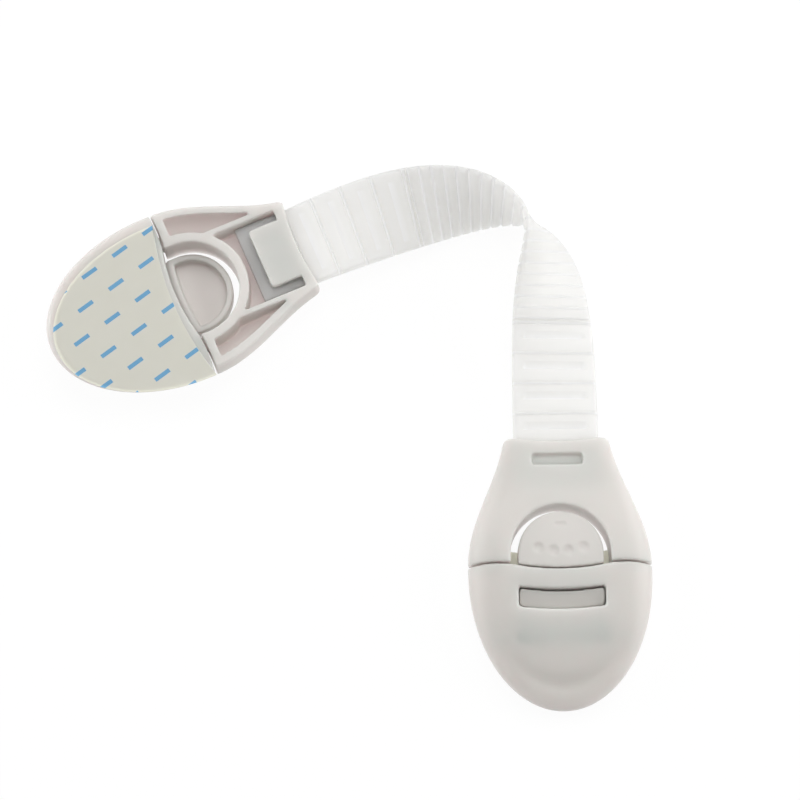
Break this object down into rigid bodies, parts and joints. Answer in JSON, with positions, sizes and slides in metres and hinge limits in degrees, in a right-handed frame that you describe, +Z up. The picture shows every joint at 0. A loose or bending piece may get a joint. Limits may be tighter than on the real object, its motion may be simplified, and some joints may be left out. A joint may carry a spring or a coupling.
{
  "type": "cabinet safety lock",
  "caption": "Stick-on cabinet strap lock: egg-shaped heads with a push-button latch, joined by a ribbed translucent ratchet strap.",
  "frame": {"origin": "middle of the right head's sticky face, on the ground", "axes": "+Z up out of the right head's front, +Y along the right head towards the strap, +X to its right"},
  "size_m": [0.1525, 0.1381, 0.0217],
  "materials": {
    "shell": "fine matte moulding",
    "latch": "fine matte moulding",
    "foam": "closed-cell foam",
    "liner": "waxed paper",
    "strap": "milky translucent, soft"
  },
  "bodies": {
    "right_strap_end": {"right_strap_housing": "shell", "strap": "strap"},
    "right_latch": {"right_latch_button": "latch"},
    "right_base": {"right_base": "shell", "right_foam_pad": "foam", "right_release_liner": "liner"},
    "left_strap_end": {"left_strap_housing": "shell"},
    "left_latch": {"left_latch_button": "latch"},
    "left_base": {"left_base": "shell", "left_foam_pad": "foam", "left_release_liner": "liner"}
  },
  "joints": [
    {"name": "strap_flex", "type": "hinge", "parent": "right_strap_end", "child": "left_strap_end", "pos_m": [-0.0111, 0.1094, 0.0109], "axis": [0, 0, 1], "range_deg": [-35, 30], "stiffness_Nm_per_rad": 0.012, "deforming": ["strap"]},
    {"name": "right_latch_press", "type": "hinge", "parent": "right_strap_end", "child": "right_latch", "pos_m": [0, -0.00005, 0.0061], "axis": [-0.9998, -0.0175, 0], "range_deg": [0, 8], "stiffness_Nm_per_rad": 1},
    {"name": "right_base_release", "type": "slide", "parent": "right_strap_end", "child": "right_base", "axis": [0.0175, -0.9998, 0], "range_m": [0, 0.024], "deforming": ["right_latch_button"]},
    {"name": "left_latch_press", "type": "hinge", "parent": "left_strap_end", "child": "left_latch", "pos_m": [-0.11172, 0.08059, 0.0054], "axis": [0.3987, -0.9171, 0], "range_deg": [0, 8], "stiffness_Nm_per_rad": 1},
    {"name": "left_base_release", "type": "slide", "parent": "left_strap_end", "child": "left_base", "axis": [-0.9171, -0.3987, 0], "range_m": [0, 0.024], "deforming": ["left_latch_button"]}
  ]
}
